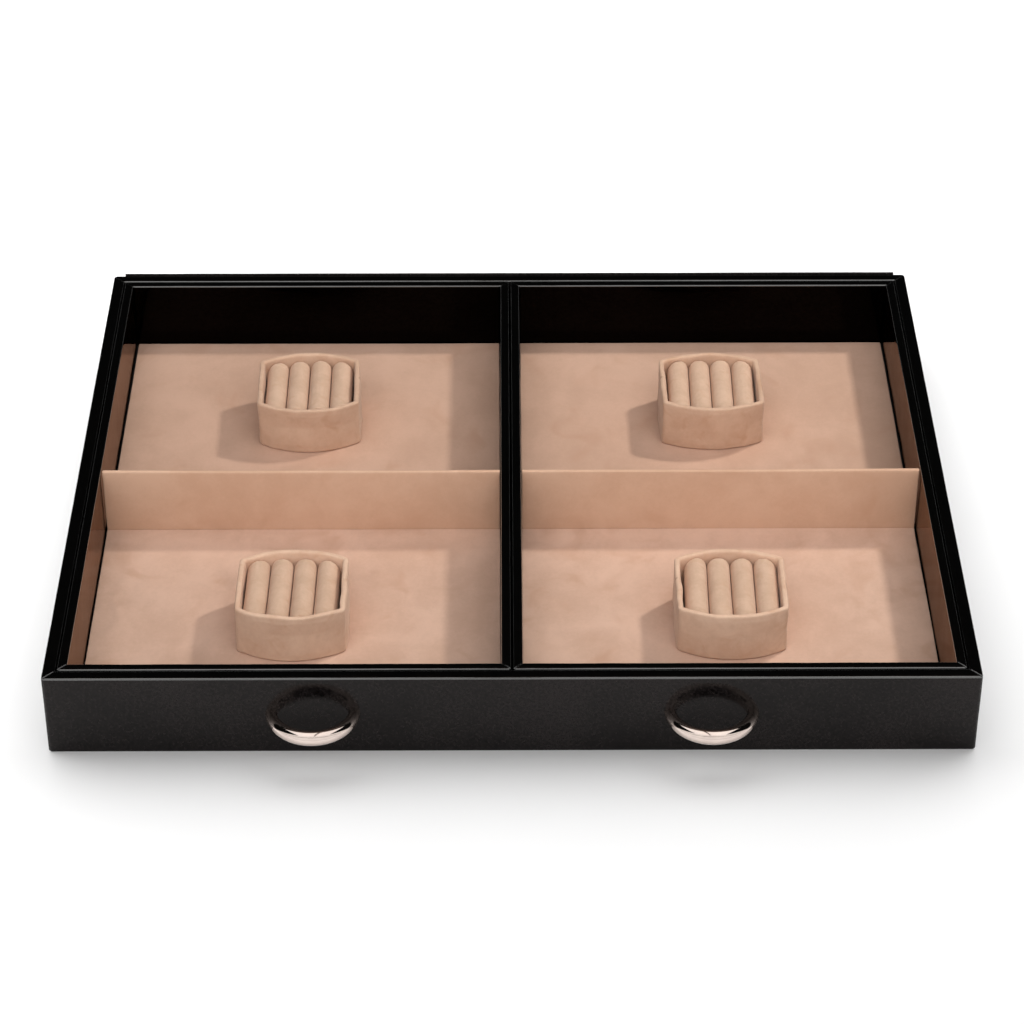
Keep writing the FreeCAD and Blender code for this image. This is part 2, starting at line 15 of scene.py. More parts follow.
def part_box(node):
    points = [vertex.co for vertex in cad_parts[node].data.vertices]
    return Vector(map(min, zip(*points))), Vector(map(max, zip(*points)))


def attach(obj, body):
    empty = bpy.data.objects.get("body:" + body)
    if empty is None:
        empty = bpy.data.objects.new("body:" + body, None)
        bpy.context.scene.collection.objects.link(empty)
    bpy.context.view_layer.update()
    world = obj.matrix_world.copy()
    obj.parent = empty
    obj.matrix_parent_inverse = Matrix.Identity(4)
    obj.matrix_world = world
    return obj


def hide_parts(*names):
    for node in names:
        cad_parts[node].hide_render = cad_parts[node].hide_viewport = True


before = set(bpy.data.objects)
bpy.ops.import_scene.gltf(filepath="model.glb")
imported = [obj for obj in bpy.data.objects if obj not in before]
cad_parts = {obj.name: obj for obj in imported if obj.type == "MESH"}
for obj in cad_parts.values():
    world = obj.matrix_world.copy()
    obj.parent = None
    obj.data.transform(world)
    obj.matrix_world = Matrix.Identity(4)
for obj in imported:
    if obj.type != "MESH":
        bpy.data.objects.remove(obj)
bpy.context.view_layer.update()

MM = 0.001
SIDES = ("front", "back", "left", "right")
HANDS = ("left", "right")

# ------------------------------------------------------------ sizes, in millimetres

DRAWER = {"wall": 5.0, "leather": 0.9, "rim": 0.65, "corner": 1.6, "foot": 0.7, "lip": 8.0,
          "inner_low": 3.4, "crown": 0.03, "wave": 0.06}
TRAY = {"wall": 3.8, "leather": 0.8, "rim": 0.60, "corner": 1.2, "foot": 0.4, "lip": None,
        "inner_low": 5.1, "crown": 0.04, "wave": 0.07}
STATION_STEP = 1.6
SEAM_DEPTH = 0.16
SEAM_REACH = 0.30
MITRE_STEPS = [0.0, 0.10, 0.22, 0.36, 0.52, 0.72, 0.98, 1.3, 1.7, 2.3, 3.2]

HOLDER = {"width": 44.0, "side": 34.2, "bulge": 5.4, "wall": 2.3, "corner": 2.4,
          "height": 21.8, "card": 1.0, "lean": 0.5, "slack": 0.30, "pucker": 0.22,
          "rim_wave": 0.35, "rim_drop": 0.15}
LAP = {"thick": 0.5, "start": 3.0, "line": 3.3, "depth": 0.55, "reach": 0.42}
# turn in degrees, then how much further than the CAD's bow the rim and the foot stand out,
# and how the rolls are turned and shifted sideways
HOLDERS = {
    "left_back": {"turn": 1.3, "rim_out": -1.1, "foot_out": 1.8, "seed": 11,
                  "rolls_turn": -1.2, "rolls_shift": -0.2},
    "right_back": {"turn": 0.8, "rim_out": -0.5, "foot_out": 0.3, "seed": 23,
                   "rolls_turn": -1.5, "rolls_shift": 0.1},
    "left_front": {"turn": -0.5, "rim_out": -0.8, "foot_out": 1.4, "seed": 37,
                   "rolls_turn": -0.3, "rolls_shift": -0.3},
    "right_front": {"turn": 0.3, "rim_out": 0.6, "foot_out": 1.1, "seed": 53,
                    "rolls_turn": -1.3, "rolls_shift": 0.4},
}
ROLLS = {"count": 4, "drop": 1.7, "pitch": 9.45, "width": 9.0, "back_reach": 18.9,
         "outer_rise": 0.45, "end_gap": 0.18, "side_gap": 0.25, "half_length": 18.0,
         "soft": 0.75, "lift": 0.30, "swing": 0.18, "puff": 0.12}

STUFFING = {"scale": 20.0, "pressure": 4.0, "frames": 20}

HANDLE = {"apart": 76.7, "level": 19.0, "ring": 16.1, "sink": 1.0, "bury": 0.7, "thick": 4.4,
          "foot": 0.3, "swell": 1.5, "edge": 0.55}

FACING = {"edge": 0.36, "dip": 0.12, "hollow": 0.10}
# spread is how far each side is drawn out past its CAD place, at the drawer's front and back,
# and how much more on the side towards the drawer's middle
CARD = {"edge": 0.42, "drawn": 0.16, "swell": 0.10, "ragged": 0.12, "cove_reach": 4.6,
        "cove_rise": 0.75, "spread": {"front": 0.86, "back": 0.45, "inner": 0.12}}
DIVIDER = {"end": 0.5, "lean": 0.35, "dish": 0.12, "droop": 0.18}
STRIP_STEP = 3.0
ROUND_SPARE = 0.02


# ------------------------------------------------------------ meshes

def box_mm(node):
    """Lowest and highest corner of a CAD node, in millimetres."""
    low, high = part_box(node)
    return np.array(low) / MM, np.array(high) / MM


def make_piece(name, points, faces, material, crease=45.0):
    """A smooth shaded object from points in millimetres."""
    mesh = bpy.data.meshes.new(name)
    mesh.from_pydata([tuple(p) for p in np.asarray(points) * MM], [], faces)
    mesh.validate()
    shell = bmesh.new()
    shell.from_mesh(mesh)
    bmesh.ops.recalc_face_normals(shell, faces=shell.faces)
    shell.to_mesh(mesh)
    shell.free()
    mesh.shade_smooth()
    mesh.set_sharp_from_angle(angle=math.radians(crease))
    piece = bpy.data.objects.new(name, mesh)
    bpy.context.scene.collection.objects.link(piece)
    mesh.materials.append(material)
    return piece


def loft(name, loops, material, wrap=False, crease=45.0):
    """A closed skin through loops of equally many points; its ends are capped unless it wraps."""
    loops = np.asarray(loops, float)
    stations, around = loops.shape[:2]
    faces = []
    for i in range(stations if wrap else stations - 1):
        here = i * around
        there = ((i + 1) % stations) * around
        for j in range(around):
            k = (j + 1) % around
            faces.append((here + j, here + k, there + k, there + j))
    if not wrap:
        faces.append(tuple(range(around)))
        faces.append(tuple(range((stations - 1) * around, stations * around)))
    return make_piece(name, loops.reshape(-1, 3), faces, material, crease)


def settle(piece, body, slot, *nodes):
    """Lets a finished piece ride with its body and stand for its CAD nodes, which it hides; its
    slot is not used.
    """
    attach(piece, body)
    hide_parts(*nodes)
    return piece


def arc(x, y, radius, start, end, steps):
    """Points along an arc in a plane, its angles in degrees."""
    angles = np.radians(np.linspace(start, end, steps + 1))
    return [(x + radius * math.cos(a), y + radius * math.sin(a)) for a in angles]


def line(start, end, steps):
    """Points between two ends, without the ends themselves."""
    shares = np.linspace(0.0, 1.0, steps + 1)[1:-1]
    return [tuple(np.array(start) + (np.array(end) - np.array(start)) * s) for s in shares]


def rounded_box_loop(half_x, half_y, radius, steps_x, steps_y, quarter=4):
    """A rectangle with round corners about the origin, as one loop of points."""
    corner_x, corner_y = half_x - radius, half_y - radius
    points = arc(corner_x, -corner_y, radius, -90, 0, quarter)
    points += line((half_x, -corner_y), (half_x, corner_y), steps_y)
    points += arc(corner_x, corner_y, radius, 0, 90, quarter)
    points += line((corner_x, half_y), (-corner_x, half_y), steps_x)
    points += arc(-corner_x, corner_y, radius, 90, 180, quarter)
    points += line((-half_x, corner_y), (-half_x, -corner_y), steps_y)
    points += arc(-corner_x, -corner_y, radius, 180, 270, quarter)
    points += line((-corner_x, -half_y), (corner_x, -half_y), steps_x)
    return np.array(points)


def eased_stations(low, high, ease, step, rounds=5):
    """Places along a bar with how far its section draws in at each, for softened ends."""
    start = [(low + ease * (1 - math.sin(math.pi / 2 * i / rounds)),
              ease * (1 - math.cos(math.pi / 2 * i / rounds))) for i in range(rounds, -1, -1)]
    count = max(2, int(round((high - low - 2 * ease) / step)))
    middle = [(p, 0.0) for p in np.linspace(low + ease, high - ease, count + 1)[1:-1]]
    end = [(low + high - p, inset) for p, inset in reversed(start)]
    return start + middle + end


def ripple(point, size, seed=0.0):
    """Smooth noise between about -1 and 1 with features of a size in millimetres."""
    return noise.noise(Vector(point) / size + Vector((seed, seed * 0.37, -seed)))


# ------------------------------------------------------------ materials

class Material:
    """A procedural material: helpers that add and link nodes."""

    def __init__(self, name):
        self.material = bpy.data.materials.new(name)
        self.material.use_nodes = True
        self.nodes = self.material.node_tree.nodes
        self.links = self.material.node_tree.links
        self.shader = self.nodes["Principled BSDF"]
        self.place = self.add("ShaderNodeTexCoord").outputs["Object"]

    def add(self, kind, **settings):
        node = self.nodes.new(kind)
        for name, value in settings.items():
            setattr(node, name, value)
        return node

    def join(self, source, target):
        self.links.new(source, target)

    def noise(self, feature, detail=2.0, roughness=0.5, distortion=0.0, stretch=None):
        """Noise with features of a size in millimetres."""
        node = self.add("ShaderNodeTexNoise")
        node.inputs["Scale"].default_value = 1.0 / (feature * MM)
        node.inputs["Detail"].default_value = detail
        node.inputs["Roughness"].default_value = roughness
        node.inputs["Distortion"].default_value = distortion
        self.join(self.stretched(stretch), node.inputs["Vector"])
        return node.outputs["Fac"]

    def stretched(self, stretch):
        if stretch is None:
            return self.place
        mapping = self.add("ShaderNodeMapping")
        mapping.inputs["Scale"].default_value = stretch
        self.join(self.place, mapping.inputs["Vector"])
        return mapping.outputs["Vector"]

    def cells(self, feature):
        """Soft cells of a size in millimetres, as the pebbles of leather."""
        node = self.add("ShaderNodeTexVoronoi", feature="SMOOTH_F1")
        node.inputs["Scale"].default_value = 1.0 / (feature * MM)
        node.inputs["Smoothness"].default_value = 0.4
        self.join(self.place, node.inputs["Vector"])
        return node.outputs["Distance"]

    def spread(self, value, low, high, to_low=0.0, to_high=1.0):
        """Maps a value from one range to another, held at its ends."""
        node = self.add("ShaderNodeMapRange", interpolation_type="SMOOTHSTEP")
        for socket, number in (("From Min", low), ("From Max", high),
                               ("To Min", to_low), ("To Max", to_high)):
            node.inputs[socket].default_value = number
        self.join(value, node.inputs["Value"])
        return node.outputs["Result"]

    def mix(self, factor, first, second):
        """Mixes two colours, each a socket or three numbers."""
        node = self.add("ShaderNodeMix", data_type="RGBA")
        self.join(factor, node.inputs[0])
        for socket, colour in ((node.inputs[6], first), (node.inputs[7], second)):
            if isinstance(colour, tuple):
                socket.default_value = (*colour, 1.0)
            else:
                self.join(colour, socket)
        return node.outputs[2]

    def total(self, *parts):
        """Adds weighted values, given as pairs of a socket and its weight."""
        result = None
        for socket, weight in parts:
            node = self.add("ShaderNodeMath", operation="MULTIPLY_ADD")
            self.join(socket, node.inputs[0])
            node.inputs[1].default_value = weight
            if result is None:
                node.inputs[2].default_value = 0.0
            else:
                self.join(result, node.inputs[2])
            result = node.outputs[0]
        return result

    def bump(self, height, depth):
        """Turns a height into a normal; depth in millimetres is the height of a value of 1."""
        node = self.add("ShaderNodeBump")
        node.inputs["Distance"].default_value = depth * MM
        self.join(height, node.inputs["Height"])
        self.join(node.outputs["Normal"], self.shader.inputs["Normal"])

    def colour(self, socket):
        self.join(socket, self.shader.inputs["Base Color"])

    def roughness(self, socket):
        self.join(socket, self.shader.inputs["Roughness"])

    def set(self, **numbers):
        """Constants on the shader's own sockets, words of a name joined by underscores."""
        for name, value in numbers.items():
            self.shader.inputs[name.replace("_", " ")].default_value = value


def leather_material(name, dark, light, gloss, shine, pebble_depth, grain_depth, tint,
                     coat=0.0, metallic=0.0):
    """Black smooth leather: pebbled grain, fine pores, tone that drifts a little.

    Where metallic is 1, tint colours what the leather mirrors when it is seen along its face.
    """
    m = Material(name)
    drift = m.noise(38.0, detail=3.0)
    mottle = m.noise(1.1, detail=4.0)
    tone = m.total((drift, 0.35), (mottle, 0.65))
    m.colour(m.mix(m.spread(tone, 0.35, 0.65), dark, light))
    m.roughness(m.spread(m.noise(3.5, detail=3.0), 0.3, 0.7, gloss - 0.03, gloss + 0.04))
    pebbles = m.cells(0.85)
    grain = m.noise(0.42, detail=2.0)
    folds = m.noise(9.0, detail=2.0)
    relief = m.total((pebbles, 0.7 * pebble_depth), (grain, grain_depth), (folds, pebble_depth))
    m.bump(relief, 1.0)
    m.set(Specular_IOR_Level=shine, Specular_Tint=(*tint, 1.0), Metallic=metallic)
    if coat:
        m.set(Coat_Weight=coat, Coat_Roughness=0.09, Coat_IOR=1.7)
    return m.material


def suede_material(name, pale, deep, warm, blotch, fibre_depth=0.05, dents=0.0):
    """Suede: nap brushed this way and that in soft blotches, with fine short fibres.

    Dents is the depth in millimetres of the soft hollows that glued suede keeps.
    """
    m = Material(name)
    brushed = m.noise(blotch, detail=3.0, roughness=0.55, distortion=0.6)
    strokes = m.noise(blotch * 0.28, detail=3.0, roughness=0.6, stretch=(1.0, 0.55, 1.0))
    fibres = m.noise(0.28, detail=3.0, roughness=0.7)
    flecks = m.noise(1.4, detail=3.0, roughness=0.65)
    tone = m.total((brushed, 0.48), (strokes, 0.24), (flecks, 0.15), (fibres, 0.13))
    base = m.mix(m.spread(tone, 0.36, 0.64), deep, pale)
    reddened = m.spread(m.noise(blotch * 0.6, detail=2.0, distortion=0.8), 0.52, 0.78, 0.0, 0.55)
    m.colour(m.mix(reddened, base, warm))
    heights = [(fibres, 0.6), (flecks, 0.5), (strokes, 0.5)]
    if dents:
        hollows = m.noise(blotch * 0.75, detail=1.5, roughness=0.4, distortion=0.5)
        heights.append((m.spread(hollows, 0.30, 0.70), dents / fibre_depth))
    m.bump(m.total(*heights), fibre_depth)
    m.set(Roughness=0.92, Specular_IOR_Level=0.18, Sheen_Weight=0.22, Sheen_Roughness=0.45,
          Sheen_Tint=(1.0, 0.93, 0.86, 1.0))
    return m.material


def nickel_material():
    """Polished nickel with faint polishing marks and a slight warm tone."""
    m = Material("polished_nickel")
    film = m.noise(7.0, detail=3.0)
    m.colour(m.mix(m.spread(film, 0.35, 0.65), (0.73, 0.61, 0.55), (0.79, 0.67, 0.60)))
    marks = m.noise(0.6, detail=3.0, stretch=(0.25, 0.25, 2.2))
    m.roughness(m.spread(marks, 0.35, 0.7, 0.05, 0.11))
    m.bump(m.total((marks, 1.0),), 0.0015)
    m.set(Metallic=1.0)
    return m.material


def steel_material():
    """Plain screw steel, a little dull and drawn."""
    m = Material("screw_steel")
    grime = m.noise(1.2, detail=4.0)
    m.colour(m.mix(m.spread(grime, 0.3, 0.7), (0.38, 0.37, 0.36), (0.56, 0.55, 0.54)))
    m.roughness(m.spread(grime, 0.3, 0.7, 0.25, 0.42))
    m.bump(m.total((grime, 1.0),), 0.01)
    m.set(Metallic=1.0)
    return m.material


def board_material():
    """Pressed fibre board: warm brown with fine fibres lying along it."""
    m = Material("fibre_board")
    fibres = m.noise(1.5, detail=5.0, roughness=0.7, stretch=(0.3, 1.0, 1.0))
    patches = m.noise(11.0, detail=3.0)
    tone = m.total((fibres, 0.6), (patches, 0.4))
    m.colour(m.mix(m.spread(tone, 0.35, 0.65), (0.20, 0.12, 0.065), (0.36, 0.24, 0.14)))
    m.bump(m.total((fibres, 1.0),), 0.06)
    m.set(Roughness=0.85, Specular_IOR_Level=0.3)
    return m.material


def cloth_material(name, dark, light, thread):
    """Plain woven cloth: two crossed bands of threads, slightly uneven."""
    m = Material(name)
    heights = []
    for direction in ("X", "Y"):
        bands = m.add("ShaderNodeTexWave", wave_type="BANDS", bands_direction=direction)
        bands.inputs["Scale"].default_value = 1.0 / (thread * MM) / (2 * math.pi)
        bands.inputs["Distortion"].default_value = 1.2
        m.join(m.place, bands.inputs["Vector"])
        heights.append((bands.outputs["Fac"], 0.5))
    lint = m.noise(0.7, detail=4.0)
    tone = m.total(*heights, (lint, 0.6))
    m.colour(m.mix(m.spread(tone, 0.4, 1.3), dark, light))
    m.bump(m.total(*heights, (lint, 0.4)), 0.08)
    m.set(Roughness=0.9, Specular_IOR_Level=0.2, Sheen_Weight=0.1)
    return m.material


def felt_material():
    """Black felt: matted fibres with pale lint."""
    m = Material("black_felt")
    mat = m.noise(0.5, detail=5.0, roughness=0.75)
    lumps = m.noise(4.0, detail=2.0)
    tone = m.total((mat, 0.7), (lumps, 0.3))
    m.colour(m.mix(m.spread(tone, 0.35, 0.7), (0.006, 0.006, 0.006), (0.03, 0.028, 0.027)))
    m.bump(m.total((mat, 1.0), (lumps, 0.5)), 0.12)
    m.set(Roughness=0.95, Specular_IOR_Level=0.15, Sheen_Weight=0.15)
    return m.material


OUTER_LEATHER = leather_material("outer_leather", (0.0004, 0.0003, 0.0004),
                                 (0.0098, 0.0078, 0.0078), gloss=0.13, shine=0.215,
                                 pebble_depth=0.004, grain_depth=0.010, tint=(1.0, 0.93, 0.9021))
RIM_LEATHER = leather_material("rim_leather", (0.0004, 0.0004, 0.0004),
                               (0.0010, 0.0009, 0.0009), gloss=0.12, shine=1.0,
                               pebble_depth=0.012, grain_depth=0.060, tint=(1.0, 1.0, 0.97),
                               coat=1.0)
TRAY_LEATHER = leather_material("tray_leather", (0.0004, 0.0003, 0.0003),
                                (0.0012, 0.0010, 0.0009), gloss=0.07, shine=0.035,
                                pebble_depth=0.002, grain_depth=0.004,
                                tint=(1.0, 0.70, 0.679))
INNER_LEATHER = leather_material("inner_leather", (0.0028, 0.0023, 0.0022),
                                 (0.0052, 0.0042, 0.0040), gloss=0.07, shine=0.035,
                                 pebble_depth=0.002, grain_depth=0.004,
                                 tint=(0.68, 0.50, 0.405), metallic=1.0)
FLOOR_SUEDE = suede_material("insert_suede", (0.660, 0.425, 0.315), (0.575, 0.362, 0.262),
                             (0.555, 0.325, 0.222), blotch=34.0)
# Suede for the front floor cards: the insert suede made paler. The extra brightness is painted
# light, standing in for the light that falls on the front compartments; its dents are real
# hollows.
FRONT_SUEDE_PAINTED_LIGHT = suede_material("front_suede_painted_light", (0.720, 0.482, 0.368), (0.618, 0.400, 0.296),
                             (0.560, 0.330, 0.225), blotch=30.0, dents=0.55)
# Suede for the dividers: the insert suede made paler. This is painted light and painted sheen, for
# the brightness the upright faces catch.
UPRIGHT_SUEDE_PAINTED_LIGHT = suede_material("upright_suede_painted_light", (0.700, 0.455, 0.320), (0.630, 0.390, 0.265),
                               (0.600, 0.355, 0.235), blotch=30.0)
HOLDER_SUEDE = suede_material("holder_suede", (0.680, 0.460, 0.330), (0.600, 0.385, 0.268),
                              (0.560, 0.325, 0.208), blotch=13.0)
# Suede for the front holders: the holder suede made paler. This is painted light, making up for
# the smaller share of light that reaches the front holders.
FRONT_HOLDER_SUEDE_PAINTED_LIGHT = suede_material("front_holder_suede_painted_light", (0.780, 0.540, 0.395),
                                    (0.690, 0.453, 0.322), (0.642, 0.382, 0.250), blotch=13.0)
ROLL_SUEDE = suede_material("roll_suede", (0.690, 0.475, 0.345), (0.610, 0.408, 0.288),
                            (0.600, 0.375, 0.250), blotch=10.0)
CARD_SUEDE = suede_material("card_suede", (0.50, 0.36, 0.27), (0.40, 0.28, 0.20),
                            (0.42, 0.28, 0.20), blotch=12.0)
NICKEL = nickel_material()
STEEL = steel_material()
BOARD = board_material()
BOTTOM_CLOTH = cloth_material("bottom_cloth", (0.008, 0.008, 0.009), (0.03, 0.03, 0.032), 0.45)
FELT = felt_material()
LINED_BOARD = cloth_material("lined_board", (0.004, 0.0036, 0.0034), (0.014, 0.012, 0.011), 0.3)


# ------------------------------------------------------------ leather walls

class Ring:
    """Four leather-covered walls of the drawer or a tray, mitred at their corners."""

    def __init__(self, prefix, body, kind, material, seed):
        self.prefix = prefix
        self.body = body
        self.kind = kind
        self.material = material
        self.seed = seed
        left, _ = box_mm(prefix + "left_leather")
        _, right = box_mm(prefix + "right_leather")
        front, _ = box_mm(prefix + "front_leather")
        _, back = box_mm(prefix + "back_leather")
        self.middle = np.array([(left[0] + right[0]) / 2, (front[1] + back[1]) / 2])
        self.half = np.array([(right[0] - left[0]) / 2, (back[1] - front[1]) / 2])
        self.low = front[2]
        self.top = back[2]

    def profile(self):
        """The wall's cut: depth from its outer face and height, as one closed loop."""
        k = self.kind
        wall, skin, rim, foot = k["wall"], k["leather"], k["rim"], k["foot"]
        low, top = self.low, self.top
        points = arc(foot, low + foot, foot, 270, 180, 4)
        points += line((0.0, low + foot), (0.0, top - rim), 12)
        points += arc(rim, top - rim, rim, 180, 90, 8)
        flat = line((rim, top), (wall - rim, top), 6)
        for depth, height in flat:
            share = (depth - rim) / (wall - 2 * rim)
            points.append((depth, height + k["crown"] * math.sin(math.pi * share)))
        points += arc(wall - rim, top - rim, rim, 90, 0, 8)
        points += line((wall, top - rim), (wall, k["inner_low"]), 12)
        skinned = len(points)
        points += [(wall, k["inner_low"]), (wall - skin, k["inner_low"])]
        points += [(wall - skin, top - skin), (skin, top - skin)]
        if k["lip"]:
            points += [(skin, low + skin), (k["lip"], low + skin), (k["lip"], low)]
        else:
            points += [(skin, low)]
        return np.array(points), skinned

    def stations(self, length):
        """Shares of half the length, close together by the mitres."""
        near = MITRE_STEPS[-1]
        count = int((2 * length - 2 * near) / STATION_STEP)
        middle = list(np.linspace(near, 2 * length - near, count + 1)[1:-1])
        places = MITRE_STEPS + middle + [2 * length - n for n in reversed(MITRE_STEPS)]
        return np.array(places) / length - 1.0

    def build(self, side):
        """One wall's leather, mitred at both ends, its skin gently uneven."""
        profile, skinned = self.profile()
        outward = outward_normals(profile)
        lengthwise = 0 if side in ("front", "back") else 1
        half_along = self.half[lengthwise]
        half_out = self.half[1 - lengthwise]
        index = SIDES.index(side)
        loops = []
        for share in self.stations(half_along):
            from_end = (1.0 - abs(share)) * half_along
            seam = SEAM_DEPTH * math.exp(-(from_end / SEAM_REACH) ** 2)
            loop = []
            for number, (depth, height) in enumerate(profile):
                along = share * (half_along - depth)
                if number < skinned:
                    where = (along, depth * 3.0 + index * 900.0, height)
                    swell = self.kind["wave"] * ripple(where, 17.0, self.seed)
                    swell += 0.4 * self.kind["wave"] * ripple(where, 4.5, self.seed)
                    swell = min(swell, 0.0) * 2.0 if depth < 0.05 else swell
                    move = swell * min(1.0, (height - self.low) / 3.0) - seam
                    shifted = np.array((depth, height)) + outward[number] * move
                else:
                    shifted = np.array((depth, height))
                out = half_out - shifted[0]
                along = share * (half_along - shifted[0])
                along, out = self.round_corner(along, out, half_along, half_out)
                loop.append(self.turned(side, along, out, shifted[1]))
            loops.append(loop)
        piece = loft(self.prefix + side + "_wall_leather", loops, self.material, crease=50.0)
        self.paint(piece, side)
        settle(piece, self.body, "black_leather", self.prefix + side + "_leather")

    def paint(self, piece, side):
        """Gives a wall's rim, and a tray wall's inner face, a leather of its own."""
        piece.data.materials.append(RIM_LEATHER)
        if self.kind is TRAY:
            piece.data.materials.append(INNER_LEATHER)
        rim_level = (self.top - self.kind["rim"] * 1.05) * MM
        inward = Vector(self.turned(side, 0.0, -1.0, 0.0)) - Vector((*self.middle, 0.0))
        for face in piece.data.polygons:
            if face.center.z > rim_level and len(face.vertices) == 4:
                face.material_index = 1
            elif self.kind is TRAY and face.normal.dot(inward) > 0.7:
                face.material_index = 2

    def round_corner(self, along, out, half_along, half_out):
        """Rounds the upright outer corner, layer by layer, and leaves the mitre plane as it is."""
        radius = self.kind["corner"]
        past_along = abs(along) - (half_along - radius)
        past_out = out - (half_out - radius)
        if past_along <= 0.0 or past_out <= 0.0:
            return along, out
        reach = max(past_along, past_out)
        length = math.hypot(past_along, past_out)
        along_round = half_along - radius + past_along / length * reach
        return math.copysign(along_round, along), half_out - radius + past_out / length * reach

    def turned(self, side, along, out, height):
        x, y = {"front": (along, -out), "back": (-along, out),
                "left": (-out, -along), "right": (out, along)}[side]
        return x + self.middle[0], y + self.middle[1], height


def outward_normals(profile):
    """Outward directions along the first, skinned run of a wall's cut."""
    ahead = np.roll(profile, -1, axis=0) - profile
    behind = profile - np.roll(profile, 1, axis=0)
    run = ahead / np.maximum(np.linalg.norm(ahead, axis=1, keepdims=True), 1e-9)
    run = run + behind / np.maximum(np.linalg.norm(behind, axis=1, keepdims=True), 1e-9)
    run = run / np.maximum(np.linalg.norm(run, axis=1, keepdims=True), 1e-9)
    return np.stack([-run[:, 1], run[:, 0]], axis=1)


def build_walls():
    rings = [Ring("", "drawer", DRAWER, OUTER_LEATHER, 3.0)]
    for number, hand in enumerate(HANDS):
        rings.append(Ring(hand + "_tray_", hand + "_tray", TRAY, TRAY_LEATHER, 7.0 + 4 * number))
    for ring in rings:
        for side in SIDES:
            ring.build(side)


def build_facing():
    """The strip glued over the back, soft at its edges and not quite flat."""
    low, high = box_mm("back_facing")
    middle = (low + high) / 2
    half = (high - low) / 2
    edge = FACING["edge"]
    loops = []
    for x, inset in eased_stations(low[0], high[0], edge, STRIP_STEP):
        section = rounded_box_loop(half[1] - inset, half[2] - inset, edge + ROUND_SPARE - inset,
                                   2, 14, 3)
        loop = []
        for dy, dz in section:
            near_top = 1.0 if dz > half[2] * 0.8 else 0.3
            lift = FACING["dip"] * ripple((x, dz, 5.0), 22.0, 4.0) * near_top
            proud = FACING["hollow"] * ripple((x, dz, 9.0), 26.0, 6.0) if dy > 0 else 0.0
            loop.append((x, middle[1] + dy + min(proud, 0.0), middle[2] + dz + min(lift, 0.0)))
        loops.append(loop)
    piece = loft("back_leather_facing", loops, OUTER_LEATHER)
    settle(piece, "drawer", "black_leather", "back_facing")


# ------------------------------------------------------------ suede inserts

def spread_card(x, y, middle, half_x):
    """Widens a card from its CAD sides, more towards the drawer's front than its back."""
    ends = CARD["spread"]
    share = min(1.0, max(0.0, (y + 135.0) / 270.0))
    spread = ends["front"] + (ends["back"] - ends["front"]) * share
    if (x - middle) * middle < 0.0:
        spread += ends["inner"]
    return middle + (x - middle) * (half_x + spread) / half_x


def build_card(hand, row):
    """A floor card: suede drawn over its edges, lifting in a cove at the divider's foot."""
    node = "%s_%s_card" % (hand, row)
    low, high = box_mm(node)
    middle = (low + high) / 2
    half = (high - low) / 2
    at_divider = high[1] if row == "front" else low[1]
    seed = 5.0 + HANDS.index(hand) * 7 + (row == "back") * 3
    loops = []
    for x, inset in eased_stations(low[0], high[0], CARD["edge"], STRIP_STEP):
        section = rounded_box_loop(half[1] - inset, half[2] - inset,
                                   CARD["edge"] + ROUND_SPARE - inset, 48, 1, 3)
        loop = []
        for dy, dz in section:
            y = middle[1] + dy
            wave = CARD["drawn"] * ripple((x, y, 0.0), 24.0, seed)
            z = middle[2] + dz
            if dz > 0:
                z += CARD["swell"] * ripple((x, y, 3.0), 38.0, seed) - CARD["swell"] / 2
                near = max(0.0, 1.0 - abs(y - at_divider) / CARD["cove_reach"])
                if row == "front":
                    z += CARD["cove_rise"] * near ** 1.4
            drawn = wave if half[1] - abs(dy) < 0.6 and abs(y - at_divider) > 1.0 else 0.0
            edge = CARD["ragged"] * ripple((y, 0.0, x), 19.0, seed) * (inset > 0)
            loop.append((spread_card(x, y, middle[0], half[0]) + edge, y + drawn, z))
        loops.append(loop)
    # front cards take the paler suede, whose extra brightness is painted light
    suede = FRONT_SUEDE_PAINTED_LIGHT if row == "front" else FLOOR_SUEDE
    piece = loft("%s_%s_floor" % (hand, row), loops, suede)
    settle(piece, hand + "_insert", "suede_insert", node)


def build_divider(hand):
    """The upright divider, its suede folded over a soft top edge that isn't quite straight."""
    node = hand + "_divider"
    low, high = box_mm(node)
    middle = (low + high) / 2
    half = (high - low) / 2
    edge = half[1] * 0.86
    seed = 31.0 + HANDS.index(hand) * 5
    loops = []
    for x, inset in eased_stations(low[0], high[0], DIVIDER["end"], STRIP_STEP):
        section = rounded_box_loop(half[1] - inset, half[2] - inset, edge - inset, 1, 18, 5)
        loop = []
        for dy, dz in section:
            share = (dz + half[2]) / (2 * half[2])
            lean = DIVIDER["lean"] * ripple((x, 0.0, 0.0), 60.0, seed) * share
            dish = DIVIDER["dish"] * ripple((x, dz, 0.0), 21.0, seed)
            droop = DIVIDER["droop"] * ripple((x, 7.0, 0.0), 34.0, seed)
            droop *= max(0.0, share - 0.8) * 5.0
            loop.append((spread_card(x, 0.0, middle[0], half[0]),
                         middle[1] + dy + lean + dish * (1 - abs(2 * share - 1)),
                         middle[2] + dz + min(droop, 0.0)))
        loops.append(loop)
    # the divider takes the paler suede, with painted light and sheen
    piece = loft(hand + "_upright_divider", loops, UPRIGHT_SUEDE_PAINTED_LIGHT)
    settle(piece, hand + "_insert", "suede_insert", node)


# ------------------------------------------------------------ holders

